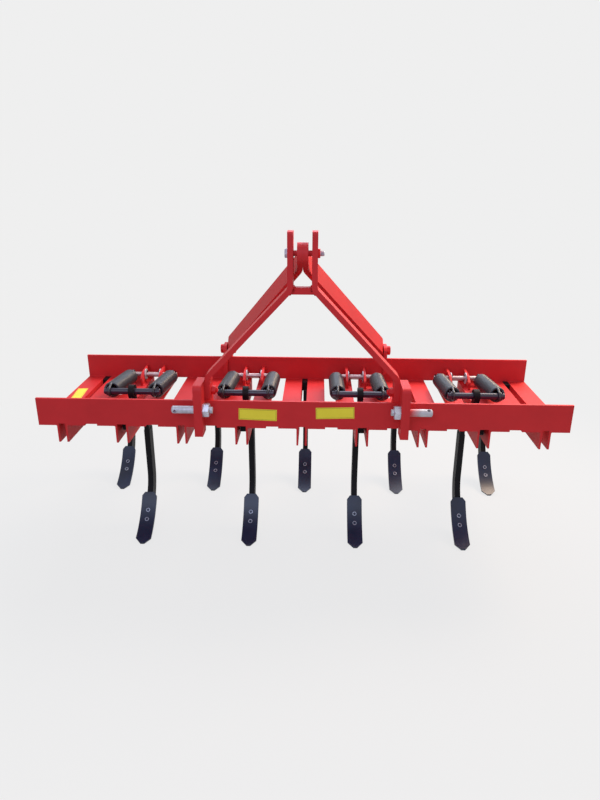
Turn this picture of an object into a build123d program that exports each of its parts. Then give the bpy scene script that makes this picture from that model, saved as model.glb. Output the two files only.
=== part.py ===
from build123d import *
import os
from math import atan2, degrees, sqrt

os.makedirs("parts", exist_ok=True)

# Cultivator with nine tines in two rows on a three-point linkage, in millimetres. The four
# tines of the front row give way against springs, and the five behind are bolted fast.
# X runs to the right seen from the tractor, Y rearwards and Z up, with the ground at Z = 0.
# Unless a name says otherwise, a y is measured rearwards from the front face of the front rail,
# or from row_offset behind it for the rear row, and a z up from the undersides of the rails.

# Layout of the tines
tine_count = 9
tine_pitch = 225.0
row_offset = 475.0
frame_level = 595.0

# Rails: an unequal angle in front, its flat leg at the bottom pointing rearwards,
# and a flat bar on edge behind
rail_height = 100.0
rail_foot = 65.0
rail_thickness = 10.0
rail_root_radius = 8.0
rear_rail_y = 564.0

# Cross angles: equal angles in pairs under the rails, each pair making the slot for a tine
cross_leg = 75.0
cross_thickness = 7.0
cross_root_radius = 4.0
slot_front_row = 34.0
cross_end_rear = 880.0

# Tine: forged steel, with a toe that rests under the rail in front of it and, in the front
# row, a hub for its pivot and an arm with an eye for the draw bar
tine_thickness = 20.0
shank_thickness = 24.0
shank_depth = 50.0
shank_front_y = 322.0
shank_corner_z = -92.0
shank_step_z = -160.0
neck_start_z = -360.0
foot_thickness = 14.0
foot_length = 176.0
tine_stop_gap = 0.4
toe_front_y = 45.0
toe_depth = 42.0
toe_radius = 10.0
hub_y = 150.0
hub_bottom_z = -68.0
hub_radius = 60.0
elbow_radius = 45.0
shoulder_z = -66.0
shoulder_radius = 60.0
arm_root_radius = 20.0
pivot_y = 172.0
pivot_z = -38.0
hub_outer_radius = 24.0
tine_side_gap = 0.3
second_bolt_y = 262.0
second_bolt_z = -52.0
pin_clearance = 0.1

# Draw bar through the eye of the tine
draw_bar_lift = 108.0
draw_bar_diameter = 25.0
draw_bar_overhang = 22.5
draw_bar_chamfer = 2.0
eye_radius = 27.0
eye_width = 22.0
arm_width = 44.0

# Springs between the draw bar and the anchor rod
spring_offset = 88.0
spring_outer = 64.0
spring_wire = 10.0
spring_end_gap = 33.0
hook_clearance = 0.4

# Anchor rod and the lugs that hold it, from the cross angles back to the rear rail
rod_y = 500.0
rod_z = 34.0
rod_diameter = 20.0
rod_overhang = 18.0
lug_offset = 39.0
lug_thickness = 10.0
lug_front_y = 442.0
lug_front_z = 30.0
lug_shoulder_y = 475.0
lug_shoulder_z = 52.0
lug_rear_z = 59.0
lug_radius = 12.0

# Shovel: pressed plate on the foot of the tine, curved in one arc from top to tip
shovel_top_y = 292.0
shovel_top_z = -444.0
shovel_tip_y = 112.0
shovel_radius = 304.0
shovel_thickness = 8.0
shovel_width = 64.0
shovel_neck_width = 34.0
shovel_shoulder = 18.0
shovel_point = 25.0
shovel_tip_width = 16.0
shovel_seat_gap = 0.3

# Hitch plates astride the front rail, with the pins for the lower links
hitch_outer_x = 387.0
hitch_thickness = 30.0
hitch_front_y = -65.0
hitch_rear_y = 72.0
hitch_top_z = 176.0
hitch_bottom_z = -17.0
hitch_corner_radius = 18.0
hitch_rear_radius = 36.0
notch_fit = 0.3
hitch_pin_y = -35.0
hitch_pin_z = 77.0
hitch_pin_diameter = 28.0
hitch_pin_reach = 85.0
hitch_pin_chamfer = 4.0
thread_diameter = 24.0
thread_stub = 10.0
linch_hole = 12.0
linch_from_tip = 14.0
linch_angle_left = -8.0
linch_angle_right = 64.0
nut_flats = 46.0
nut_height = 24.0
nut_turn = 17.0

# Mast: two bent flat bars, upright at the foot, leaning inwards, and upright again at the head
mast_thickness = 20.0
mast_width = 65.0
mast_gap = 65.0
mast_top_z = 704.0
mast_lower_bend_z = 183.0
mast_upper_bend_z = 507.0
mast_bend_radius = 18.0
mast_front_corner = 10.0
mast_rear_corner = 12.0
spacer_bottom_z = 489.0
spacer_height = 24.0
spacer_depth = 30.0
top_link_hole = 25.7
top_link_z = 680.0
mast_pin_z = 629.0
mast_foot_bolt_z = 128.0

# Stays: bent flat bars from the mast pin down to brackets on the rear rail
stay_thickness = 19.0
stay_width = 74.0
stay_bend_radius = 60.0
stay_foot_y = 600.0
stay_foot_z = 128.0
stay_foot_inner_x = 330.0
stay_bend_from_eye = 54.0
stay_bend_from_foot = 38.0
stay_end_radius = 36.0
stay_eye_gap = 0.3
bracket_thickness = 15.0
bracket_front_y = 540.0
bracket_radius = 30.0
bracket_front_z = 30.0
bracket_rear_z = 55.0
bracket_rear_corner = 20.0

# Bolts and pins: across the flats, height of head and nut, and what stands out beyond the nut
bolt_clearance = 0.3
m20_diameter = 20.0
m20_flats = 30.0
m20_head = 12.5
m20_nut = 16.0
m20_stub = 8.0
m24_diameter = 24.0
m24_flats = 36.0
m24_head = 15.0
m24_nut = 19.0
m24_stub = 3.0
mast_pin_head = 10.0
mast_pin_nut = 8.0
mast_pin_stub = 14.0

# Worked out from the sizes above
middle = (tine_count + 1) // 2
tines = [(number, (number - middle) * tine_pitch) for number in range(1, tine_count + 1)]
front_row = [tine for tine in tines if tine[0] % 2 == 0]
rear_row = [tine for tine in tines if tine[0] % 2 == 1]
slot_rear_row = shank_thickness + 2 * tine_side_gap
rail_length = 2 * (tines[-1][1] + slot_rear_row / 2 + cross_leg)
cross_end_front = rear_rail_y + rail_thickness
rail_face_y = -(cross_end_rear + hitch_front_y) / 2
draw_bar_z = pivot_z + draw_bar_lift
arm_front_y = pivot_y - arm_width / 2
arm_rear_y = pivot_y + arm_width / 2
shank_rear_y = shank_front_y + shank_depth
spring_run = Vector(0, rod_y - pivot_y, rod_z - draw_bar_z)
draw_bar_length = 2 * (spring_offset + draw_bar_overhang)
rod_length = 2 * (spring_offset + rod_overhang)
hitch_inner_x = hitch_outer_x - hitch_thickness
mast_y = rail_thickness + mast_width / 2
mast_foot_x = hitch_inner_x - mast_thickness / 2
mast_head_x = mast_gap / 2 + mast_thickness / 2
stay_run = Vector(0, stay_foot_y - mast_y, stay_foot_z - mast_pin_z)
stay_foot_outer_x = stay_foot_inner_x + stay_thickness
root_clearance = rail_root_radius + 1.0
rail_back = rear_rail_y + rail_thickness + notch_fit


def side_plane(x, row_y=0.0):
    """Upright plane facing +X, its own x rearwards from the rail face and its y up."""
    return Plane(origin=(x, rail_face_y + row_y, frame_level), x_dir=(0, 1, 0), z_dir=(1, 0, 0))


def front_plane(y=0.0):
    """Upright plane facing the tractor, its own x to the right and its y up."""
    return Plane(origin=(0, rail_face_y + y, frame_level), x_dir=(1, 0, 0), z_dir=(0, -1, 0))


def row_y(number):
    """Even tines stand in the front row, odd ones in the rear row."""
    return 0.0 if number % 2 == 0 else row_offset


def slot_width(number):
    return slot_front_row if number % 2 == 0 else slot_rear_row


def tine_bolt_places(number):
    """A tine of the front row turns on one bolt, and a tine of the rear row is held by two."""
    second = [] if number % 2 == 0 else [(second_bolt_y, second_bolt_z)]
    return [(pivot_y, pivot_z)] + second


def hexagon(flats, turn=0.0):
    """Outline of a nut or bolt head, one corner turned up from the horizontal in front."""
    return RegularPolygon(radius=flats / 2, side_count=6, major_radius=False, rotation=-turn)


def bent_bar(points, thickness, radius):
    """Outline of a bar of even thickness along points, and the radius of each of its corners."""
    sides = {1: [], -1: []}
    radii = {1: [], -1: []}
    runs = [(Vector(*b) - Vector(*a)).normalized() for a, b in zip(points, points[1:])]
    for index, point in enumerate(points):
        before = runs[max(index - 1, 0)]
        after = runs[min(index, len(runs) - 1)]
        turn = before.cross(after).Z
        for side in (1, -1):
            normals = before.rotate(Axis.Z, 90) + after.rotate(Axis.Z, 90)
            reach = side * thickness / (1 + before.dot(after))
            corner = Vector(*point) + normals * (reach / 2)
            sides[side].append((corner.X, corner.Y))
            bend = radius if turn * side > 0 else radius + thickness
            radii[side].append(bend if 0 < index < len(points) - 1 else 0)
    return sides[1] + sides[-1][::-1], radii[1] + radii[-1][::-1]


def save(part, name):
    part.label = name
    export_step(part, f"parts/{name}.step")


# Rails
with BuildPart() as front_rail:
    with BuildSketch(side_plane(-rail_length / 2)):
        with BuildLine():
            FilletPolyline(
                (0, 0),
                (rail_foot, 0),
                (rail_foot, rail_thickness),
                (rail_thickness, rail_thickness),
                (rail_thickness, rail_height),
                (0, rail_height),
                radius=(0, 0, 0, rail_root_radius, 0, 0),
                close=True,
            )
        make_face()
    extrude(amount=rail_length)
save(front_rail.part, "front_rail")

with BuildPart() as rear_rail:
    with BuildSketch(side_plane(-rail_length / 2, rear_rail_y)):
        Rectangle(rail_thickness, rail_height, align=Align.MIN)
    extrude(amount=rail_length)
save(rear_rail.part, "rear_rail")

# Cross angles, a pair at each tine, their tops level with the rails' undersides
for name, row, end_y in (
    ("cross_angles_front_row", front_row, cross_end_front),
    ("cross_angles_rear_row", rear_row, cross_end_rear),
):
    with BuildPart() as cross_angles:
        for number, x in row:
            for side in (-1, 1):
                inner = x + side * slot_width(number) / 2
                with BuildSketch(front_plane()):
                    with BuildLine():
                        FilletPolyline(
                            (inner, 0),
                            (inner + side * cross_leg, 0),
                            (inner + side * cross_leg, -cross_thickness),
                            (inner + side * cross_thickness, -cross_thickness),
                            (inner + side * cross_thickness, -cross_leg),
                            (inner, -cross_leg),
                            radius=(0, 0, 0, cross_root_radius, 0, 0),
                            close=True,
                        )
                    make_face()
                extrude(amount=-end_y)
        for number, x in row:
            with BuildSketch(side_plane(x, row_y(number))):
                with Locations(*tine_bolt_places(number)):
                    Circle(m20_diameter / 2 + pin_clearance)
            extrude(amount=tine_pitch / 2, both=True, mode=Mode.SUBTRACT)
    save(cross_angles.part, name)

# Tines and their shovels
shovel_top = Vector(shovel_top_y, shovel_top_z)
shovel_tip = Vector(shovel_tip_y, -frame_level)
shovel_chord = shovel_top - shovel_tip
shovel_rise = sqrt(shovel_radius**2 - (shovel_chord.length / 2) ** 2)
shovel_normal = shovel_chord.normalized().rotate(Axis.Z, 90)
shovel_centre = (shovel_top + shovel_tip) / 2 + shovel_normal * shovel_rise
top_spoke = (shovel_top - shovel_centre).normalized()
top_angle = degrees(atan2(top_spoke.Y, top_spoke.X))
tip_spoke = shovel_tip - shovel_centre
tip_angle = degrees(atan2(tip_spoke.Y, tip_spoke.X))
seat_radius = shovel_radius + shovel_seat_gap
foot_turn = degrees(foot_length / seat_radius)
foot_spoke = top_spoke.rotate(Axis.Z, -foot_turn)
seat_top = shovel_centre + top_spoke * seat_radius
foot_heel = shovel_centre + foot_spoke * (seat_radius + foot_thickness)
for number, x in tines:
    side = side_plane(x, row_y(number))
    with BuildPart() as tine:
        with BuildSketch(side):
            with BuildLine():
                under = FilletPolyline(
                    (hub_y, -tine_stop_gap),
                    (toe_front_y, -tine_stop_gap),
                    (toe_front_y, -toe_depth),
                    (hub_y, hub_bottom_z),
                    (shank_front_y, shank_corner_z),
                    (shank_front_y, neck_start_z),
                    radius=(3.0, toe_radius, hub_radius, elbow_radius),
                )
                TangentArc(under @ 1, (seat_top.X, seat_top.Y), tangent=(0, -1))
                seat = CenterArc(
                    (shovel_centre.X, shovel_centre.Y), seat_radius, top_angle, -foot_turn
                )
                Line(seat @ 1, (foot_heel.X, foot_heel.Y))
                TangentArc((shank_rear_y, neck_start_z), (foot_heel.X, foot_heel.Y), tangent=(0, -1))
                FilletPolyline(
                    (shank_rear_y, neck_start_z),
                    (shank_rear_y, shoulder_z),
                    (arm_rear_y, -tine_stop_gap),
                    (hub_y, -tine_stop_gap),
                    radius=(shoulder_radius, arm_root_radius),
                )
            make_face()
        extrude(amount=shank_thickness / 2, both=True)
        if number % 2 == 0:
            with BuildSketch(front_plane()):
                for hand in (-1, 1):
                    with Locations((x + hand * (tine_thickness + shank_thickness) / 2, shank_step_z)):
                        Rectangle(shank_thickness, -shank_step_z, align=(Align.CENTER, Align.MIN))
            extrude(amount=-shank_rear_y, mode=Mode.SUBTRACT)
            with BuildSketch(side):
                with BuildLine():
                    FilletPolyline(
                        (arm_front_y, pivot_z),
                        (arm_front_y, draw_bar_z),
                        (arm_rear_y, draw_bar_z),
                        (arm_rear_y, -tine_stop_gap),
                        ((arm_rear_y + shank_rear_y) / 2, (shoulder_z - tine_stop_gap) / 2),
                        radius=(0, 0, 0, arm_root_radius, 0),
                        close=True,
                    )
                make_face()
            extrude(amount=tine_thickness / 2, both=True)
            for place, radius, width in (
                ((pivot_y, pivot_z), hub_outer_radius, slot_front_row - 2 * tine_side_gap),
                ((pivot_y, draw_bar_z), eye_radius, eye_width),
            ):
                with BuildSketch(side):
                    with Locations(place):
                        Circle(radius)
                extrude(amount=width / 2, both=True)
            with BuildSketch(side):
                with Locations((pivot_y, draw_bar_z)):
                    Circle(draw_bar_diameter / 2 + pin_clearance)
            extrude(amount=eye_width, both=True, mode=Mode.SUBTRACT)
        with BuildSketch(side):
            with Locations(*tine_bolt_places(number)):
                Circle(m20_diameter / 2 + pin_clearance)
        extrude(amount=slot_front_row, both=True, mode=Mode.SUBTRACT)
    save(tine.part, f"tine_{number}")

    with BuildPart() as shovel:
        with BuildSketch(side):
            with BuildLine():
                back = CenterArc(
                    (shovel_centre.X, shovel_centre.Y), shovel_radius, tip_angle, top_angle - tip_angle
                )
                face = CenterArc(
                    (shovel_centre.X, shovel_centre.Y),
                    shovel_radius - shovel_thickness,
                    tip_angle,
                    top_angle - tip_angle,
                )
                Line(back @ 0, face @ 0)
                Line(back @ 1, face @ 1)
            make_face()
        extrude(amount=shovel_width / 2, both=True)
        outline_plane = Plane(
            origin=side.from_local_coords((shovel_tip.X, shovel_tip.Y)),
            x_dir=(1, 0, 0),
            z_dir=(0, shovel_normal.X, shovel_normal.Y),
        )
        with BuildSketch(outline_plane):
            with BuildLine():
                Polyline(
                    (shovel_tip_width / 2, 0),
                    (shovel_width / 2, shovel_point),
                    (shovel_width / 2, shovel_chord.length - shovel_shoulder),
                    (shovel_neck_width / 2, shovel_chord.length),
                    (-shovel_neck_width / 2, shovel_chord.length),
                    (-shovel_width / 2, shovel_chord.length - shovel_shoulder),
                    (-shovel_width / 2, shovel_point),
                    (-shovel_tip_width / 2, 0),
                    close=True,
                )
            make_face()
        extrude(amount=shovel_chord.length, both=True, mode=Mode.INTERSECT)
    save(shovel.part, f"shovel_{number}")

# Draw bar through the eye of each sprung tine, and its two springs back to the anchor rod
for number, x in front_row:
    with BuildPart() as draw_bar:
        with BuildSketch(side_plane(x - draw_bar_length / 2)):
            with Locations((pivot_y, draw_bar_z)):
                Circle(draw_bar_diameter / 2)
        extrude(amount=draw_bar_length)
        chamfer(draw_bar.edges().filter_by(GeomType.CIRCLE), draw_bar_chamfer)
    save(draw_bar.part, f"draw_bar_{number}")

    with BuildPart() as springs:
        for offset in (-spring_offset, spring_offset):
            start = side_plane(x + offset).from_local_coords((pivot_y, draw_bar_z))
            along = Plane(origin=start, x_dir=(1, 0, 0), z_dir=spring_run.normalized())
            with BuildSketch(along.offset(spring_end_gap)):
                Circle(spring_outer / 2)
                Circle(spring_outer / 2 - spring_wire, mode=Mode.SUBTRACT)
            extrude(amount=spring_run.length - 2 * spring_end_gap)
            hook_plane = Plane(origin=start, x_dir=spring_run.normalized(), z_dir=(1, 0, 0))
            with BuildSketch(hook_plane):
                for place, pin, inward in (
                    (0.0, draw_bar_diameter, 1),
                    (spring_run.length, rod_diameter, -1),
                ):
                    hole = pin / 2 + hook_clearance
                    reach = spring_end_gap + spring_wire
                    with Locations((place, 0)):
                        Circle(hole + spring_wire)
                    with Locations((place + inward * reach / 2, 0)):
                        Rectangle(reach, spring_wire)
                    with Locations((place + inward * (reach - spring_wire / 2), 0)):
                        Rectangle(spring_wire, spring_outer - spring_wire)
                    with Locations((place, 0)):
                        Circle(hole, mode=Mode.SUBTRACT)
            extrude(amount=spring_wire / 2, both=True)
    save(springs.part, f"springs_{number}")

# Lugs and anchor rods of the springs
with BuildPart() as spring_lugs:
    lug_sides = [
        side_plane(x + offset - lug_thickness / 2)
        for number, x in front_row
        for offset in (-lug_offset, lug_offset)
    ]
    with BuildSketch(*lug_sides):
        with BuildLine():
            FilletPolyline(
                (lug_front_y, 0),
                (lug_front_y, lug_front_z),
                (lug_shoulder_y, lug_shoulder_z),
                (rear_rail_y, lug_rear_z),
                (rear_rail_y, 0),
                radius=(0, lug_radius, lug_radius, 0, 0),
                close=True,
            )
        make_face()
        with Locations((rod_y, rod_z)):
            Circle(rod_diameter / 2 + pin_clearance, mode=Mode.SUBTRACT)
    extrude(amount=lug_thickness)
save(spring_lugs.part, "spring_lugs")

with BuildPart() as spring_rods:
    with BuildSketch(*[side_plane(x - rod_length / 2) for number, x in front_row]):
        with Locations((rod_y, rod_z)):
            Circle(rod_diameter / 2)
    extrude(amount=rod_length)
save(spring_rods.part, "spring_rods")

# Bolts that carry the tines, each across the pair of angles
for name, row in (("front_row", front_row), ("rear_row", rear_row)):
    with BuildPart() as tine_bolts:
        for number, x in row:
            outer = slot_width(number) / 2 + cross_thickness
            with BuildSketch(side_plane(x - outer, row_y(number))):
                with Locations(*tine_bolt_places(number)):
                    Circle(m20_diameter / 2)
            extrude(amount=2 * outer)
            with BuildSketch(
                side_plane(x - outer - m20_head, row_y(number)), side_plane(x + outer, row_y(number))
            ):
                with Locations(*tine_bolt_places(number)):
                    hexagon(m20_flats)
            extrude(amount=m20_head)
    save(tine_bolts.part, f"tine_bolts_{name}")

# Hitch plates, lower link pins, mast bars, stays and brackets, one of each on each side
for name, hand, linch_angle in (("left", -1, linch_angle_left), ("right", 1, linch_angle_right)):
    with BuildPart() as hitch_plate:
        with BuildSketch(side_plane(hand * (hitch_outer_x - hitch_thickness / 2))):
            with BuildLine():
                FilletPolyline(
                    (hitch_front_y, hitch_bottom_z),
                    (hitch_front_y, hitch_top_z),
                    (hitch_rear_y, hitch_top_z),
                    (hitch_rear_y, rail_thickness),
                    (rail_thickness + notch_fit, rail_thickness),
                    (rail_thickness + notch_fit, rail_height + notch_fit),
                    (-notch_fit, rail_height + notch_fit),
                    (-notch_fit, hitch_bottom_z),
                    radius=(0, hitch_corner_radius, hitch_rear_radius, 0, root_clearance, 0, 0, 0),
                    close=True,
                )
            make_face()
            with Locations((hitch_pin_y, hitch_pin_z)):
                Circle(thread_diameter / 2 + pin_clearance, mode=Mode.SUBTRACT)
            with Locations((mast_y, mast_foot_bolt_z)):
                Circle(m20_diameter / 2 + bolt_clearance, mode=Mode.SUBTRACT)
        extrude(amount=hitch_thickness / 2, both=True)
    save(hitch_plate.part, f"hitch_plate_{name}")

    with BuildPart() as hitch_pin:
        with BuildSketch(side_plane(hand * hitch_outer_x)):
            with Locations((hitch_pin_y, hitch_pin_z)):
                Circle(hitch_pin_diameter / 2)
        extrude(amount=hand * hitch_pin_reach)
        tip = hitch_pin.faces().sort_by(Axis.X)[-1 if hand > 0 else 0]
        chamfer(tip.edges(), hitch_pin_chamfer)
        with BuildSketch(side_plane(hand * hitch_outer_x)):
            with Locations((hitch_pin_y, hitch_pin_z)):
                Circle(thread_diameter / 2)
        extrude(amount=-hand * (hitch_thickness + nut_height + thread_stub))
        linch_origin = side_plane(
            hand * (hitch_outer_x + hitch_pin_reach - linch_from_tip)
        ).from_local_coords((hitch_pin_y, hitch_pin_z))
        linch_dir = Vector(0, -1, 0).rotate(Axis.X, -linch_angle)
        with BuildSketch(Plane(origin=linch_origin, x_dir=(1, 0, 0), z_dir=linch_dir)):
            Circle(linch_hole / 2)
        extrude(amount=hitch_pin_diameter, both=True, mode=Mode.SUBTRACT)
    save(hitch_pin.part, f"hitch_pin_{name}")

    with BuildPart() as mast_bar:
        path = [
            (hand * mast_foot_x, rail_thickness),
            (hand * mast_foot_x, mast_lower_bend_z),
            (hand * mast_head_x, mast_upper_bend_z),
            (hand * mast_head_x, mast_top_z),
        ]
        outline, radii = bent_bar(path, mast_thickness, mast_bend_radius)
        with BuildSketch(front_plane(rail_thickness)):
            with BuildLine():
                FilletPolyline(*outline, radius=radii, close=True)
            make_face()
        extrude(amount=-mast_width)
        across = mast_bar.edges().filter_by(Axis.X).group_by(Axis.Z)
        foot_front = across[0].sort_by(Axis.Y)[0]
        head_front, head_rear = across[-1].sort_by(Axis.Y)
        for edge, radius in (
            (foot_front, root_clearance),
            (head_front, mast_front_corner),
            (head_rear, mast_rear_corner),
        ):
            fillet(edge, radius)
        with BuildSketch(side_plane(0)):
            for height, diameter in (
                (mast_pin_z, m20_diameter + 2 * bolt_clearance),
                (top_link_z, top_link_hole),
                (mast_foot_bolt_z, m20_diameter + 2 * bolt_clearance),
            ):
                with Locations((mast_y, height)):
                    Circle(diameter / 2)
        extrude(amount=hitch_outer_x, both=True, mode=Mode.SUBTRACT)
    save(mast_bar.part, f"mast_bar_{name}")

    with BuildPart() as stay:
        eye_x = stay_eye_gap / 2 + stay_thickness / 2
        foot_x = stay_foot_inner_x + stay_thickness / 2
        path = [
            (hand * eye_x, -stay_end_radius),
            (hand * eye_x, stay_bend_from_eye),
            (hand * foot_x, stay_run.length - stay_bend_from_foot),
            (hand * foot_x, stay_run.length + stay_end_radius),
        ]
        outline, radii = bent_bar(path, stay_thickness, stay_bend_radius)
        across = Vector(1, 0, 0).cross(stay_run.normalized())
        eye_centre = side_plane(0).from_local_coords((mast_y, mast_pin_z))
        with BuildSketch(Plane(origin=eye_centre, x_dir=(1, 0, 0), z_dir=across)):
            with BuildLine():
                FilletPolyline(*outline, radius=radii, close=True)
            make_face()
        extrude(amount=stay_width / 2, both=True)
        fillet(stay.edges().filter_by(Axis.X), stay_end_radius)
        with BuildSketch(side_plane(0)):
            for place, diameter in (
                ((mast_y, mast_pin_z), m20_diameter),
                ((stay_foot_y, stay_foot_z), m24_diameter),
            ):
                with Locations(place):
                    Circle(diameter / 2 + bolt_clearance)
        extrude(amount=hitch_outer_x, both=True, mode=Mode.SUBTRACT)
    save(stay.part, f"stay_{name}")

    with BuildPart() as bracket:
        with BuildSketch(side_plane(hand * (stay_foot_outer_x + bracket_thickness / 2))):
            with BuildLine():
                FilletPolyline(
                    (bracket_front_y, bracket_front_z),
                    (bracket_front_y, stay_foot_z + bracket_radius),
                    (stay_foot_y + bracket_radius, stay_foot_z + bracket_radius),
                    (stay_foot_y + bracket_radius, bracket_rear_z),
                    (rail_back, bracket_rear_z),
                    (rail_back, rail_height + notch_fit),
                    (rear_rail_y - notch_fit, rail_height + notch_fit),
                    (rear_rail_y - notch_fit, bracket_front_z),
                    radius=(0, bracket_radius, bracket_radius, bracket_rear_corner, 0, 0, 0, 0),
                    close=True,
                )
            make_face()
            with Locations((stay_foot_y, stay_foot_z)):
                Circle(m24_diameter / 2 + bolt_clearance, mode=Mode.SUBTRACT)
        extrude(amount=bracket_thickness / 2, both=True)
    save(bracket.part, f"stay_bracket_{name}")

# Spacer welded in where the mast bars turn upright, its ends cut to their inner faces
lean = Vector(mast_foot_x - mast_head_x, mast_upper_bend_z - mast_lower_bend_z)
corner_z = mast_upper_bend_z - mast_thickness / 2 * lean.X / (lean.length + lean.Y)
spread = (corner_z - spacer_bottom_z) * lean.X / lean.Y
with BuildPart() as mast_spacer:
    with BuildSketch(front_plane(mast_y - spacer_depth / 2)):
        with BuildLine():
            Polyline(
                (-mast_gap / 2 - spread, spacer_bottom_z),
                (-mast_gap / 2, corner_z),
                (-mast_gap / 2, spacer_bottom_z + spacer_height),
                (mast_gap / 2, spacer_bottom_z + spacer_height),
                (mast_gap / 2, corner_z),
                (mast_gap / 2 + spread, spacer_bottom_z),
                close=True,
            )
        make_face()
    extrude(amount=-spacer_depth)
save(mast_spacer.part, "mast_spacer")

with BuildPart() as hitch_nuts:
    with BuildSketch(side_plane(hitch_inner_x - nut_height), side_plane(-hitch_inner_x)):
        with Locations((hitch_pin_y, hitch_pin_z)):
            hexagon(nut_flats, nut_turn)
            Circle(thread_diameter / 2 + pin_clearance, mode=Mode.SUBTRACT)
    extrude(amount=nut_height)
save(hitch_nuts.part, "hitch_nuts")

# Pin through the mast and both stays, and the bolts at the feet of the mast and of the stays
mast_outer_x = mast_head_x + mast_thickness / 2
mast_foot_inner_x = mast_foot_x - mast_thickness / 2
bracket_outer_x = stay_foot_outer_x + bracket_thickness
with BuildPart() as frame_bolts:
    for x, height in ((-mast_outer_x - mast_pin_head, mast_pin_head), (mast_outer_x, mast_pin_nut)):
        with BuildSketch(side_plane(x)):
            with Locations((mast_y, mast_pin_z)):
                hexagon(m20_flats, 30.0)
        extrude(amount=height)
    with BuildSketch(side_plane(-mast_outer_x)):
        with Locations((mast_y, mast_pin_z)):
            Circle(m20_diameter / 2)
    extrude(amount=2 * mast_outer_x + mast_pin_nut + mast_pin_stub)
    for place, head_x, nut_x, diameter, flats, head, nut, stub in (
        (
            (mast_y, mast_foot_bolt_z),
            hitch_outer_x,
            mast_foot_inner_x,
            m20_diameter,
            m20_flats,
            m20_head,
            m20_nut,
            m20_stub,
        ),
        (
            (stay_foot_y, stay_foot_z),
            stay_foot_inner_x,
            bracket_outer_x,
            m24_diameter,
            m24_flats,
            m24_head,
            m24_nut,
            m24_stub,
        ),
    ):
        towards_nut = 1 if nut_x > head_x else -1
        for hand in (-1, 1):
            with BuildSketch(side_plane(hand * head_x)):
                with Locations(place):
                    Circle(diameter / 2)
            extrude(amount=hand * (nut_x - head_x + towards_nut * (nut + stub)))
            for seat, height in ((head_x, -towards_nut * head), (nut_x, towards_nut * nut)):
                with BuildSketch(side_plane(hand * seat)):
                    with Locations(place):
                        hexagon(flats)
                extrude(amount=hand * height)
save(frame_bolts.part, "frame_bolts")
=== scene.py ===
"""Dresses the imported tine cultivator: springs, fasteners, welds, labels, paint, light and camera.

Lengths are millimetres until mm() turns them into Blender's metres. X runs to the right seen
from the tractor, Y rearwards from the front face of the front rail and Z up from the undersides
of the rails, until place() puts a point into the scene.
"""

import logging
import math
from dataclasses import dataclass, field
from enum import Enum

import bpy
from mathutils import Matrix, Vector

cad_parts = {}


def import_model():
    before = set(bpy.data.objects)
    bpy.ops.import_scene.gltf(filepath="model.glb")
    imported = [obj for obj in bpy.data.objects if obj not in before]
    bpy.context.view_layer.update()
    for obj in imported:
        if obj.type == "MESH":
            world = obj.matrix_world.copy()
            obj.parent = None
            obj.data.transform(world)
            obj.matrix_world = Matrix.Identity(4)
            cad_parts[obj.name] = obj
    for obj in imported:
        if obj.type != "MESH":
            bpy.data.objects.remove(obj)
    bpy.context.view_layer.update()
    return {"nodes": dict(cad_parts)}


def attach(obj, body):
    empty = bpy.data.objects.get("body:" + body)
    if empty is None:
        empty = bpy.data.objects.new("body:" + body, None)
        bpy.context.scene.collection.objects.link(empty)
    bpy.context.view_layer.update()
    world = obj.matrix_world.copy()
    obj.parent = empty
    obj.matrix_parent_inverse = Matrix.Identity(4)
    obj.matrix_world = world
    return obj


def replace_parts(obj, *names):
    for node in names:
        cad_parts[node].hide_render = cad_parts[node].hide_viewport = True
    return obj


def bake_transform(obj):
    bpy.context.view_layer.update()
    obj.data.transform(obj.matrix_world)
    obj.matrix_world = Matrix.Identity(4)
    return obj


log = logging.getLogger("cultivator")

FRAME_BODY = "frame"
RAIL_FACE_Y = -407.5
FRAME_LEVEL = 595.0
TINE_PITCH = 225.0
ROW_OFFSET = 475.0
TINE_NUMBERS = range(1, 10)
SPRUNG_TINES = (2, 4, 6, 8)
RIGID_TINES = (1, 3, 5, 7, 9)


def mm(*values: float) -> Vector:
    """Turns three lengths in millimetres into a vector in metres."""
    return Vector(values) / 1000.0


def place(x: float, y: float, z: float) -> Vector:
    """Turns a place on the machine, in millimetres, into a point of the scene, in metres."""
    return mm(x, RAIL_FACE_Y + y, FRAME_LEVEL + z)


def aim(start: Vector, direction: Vector) -> Matrix:
    """Gives the move that takes a part's origin to start and turns its X axis to direction."""
    return Matrix.Translation(start) @ direction.to_track_quat("X", "Z").to_matrix().to_4x4()


def tine_x(number: int) -> float:
    """Gives the distance of a tine to the right of the middle, in millimetres."""
    return (number - 5) * TINE_PITCH


def tine_row_y(number: int) -> float:
    """Gives how far a tine stands behind its fellows of the front row, in millimetres."""
    return 0.0 if number in SPRUNG_TINES else ROW_OFFSET


def tine_body(number: int) -> str:
    """Names the body that carries a tine."""
    return f"sprung_tine_{number}" if number in SPRUNG_TINES else FRAME_BODY


# Colours and materials


class Slot(Enum):
    """The record's material slots."""

    RED_PAINT = "red_paint"
    DARK_PAINT = "dark_paint"
    SPRING_ENAMEL = "spring_enamel"
    ZINC = "zinc"
    BRIGHT_STEEL = "bright_steel"


def linear(hex_colour: str) -> tuple[float, float, float, float]:
    """Turns an sRGB hex colour into the linear colour that a socket takes.

    Args:
        hex_colour: Six hex digits, such as "C2282B".

    Returns:
        Red, green, blue and alpha.
    """
    values = []
    for start in (0, 2, 4):
        value = int(hex_colour[start : start + 2], 16) / 255
        values.append(value / 12.92 if value <= 0.04045 else ((value + 0.055) / 1.055) ** 2.4)
    return (*values, 1.0)


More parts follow.
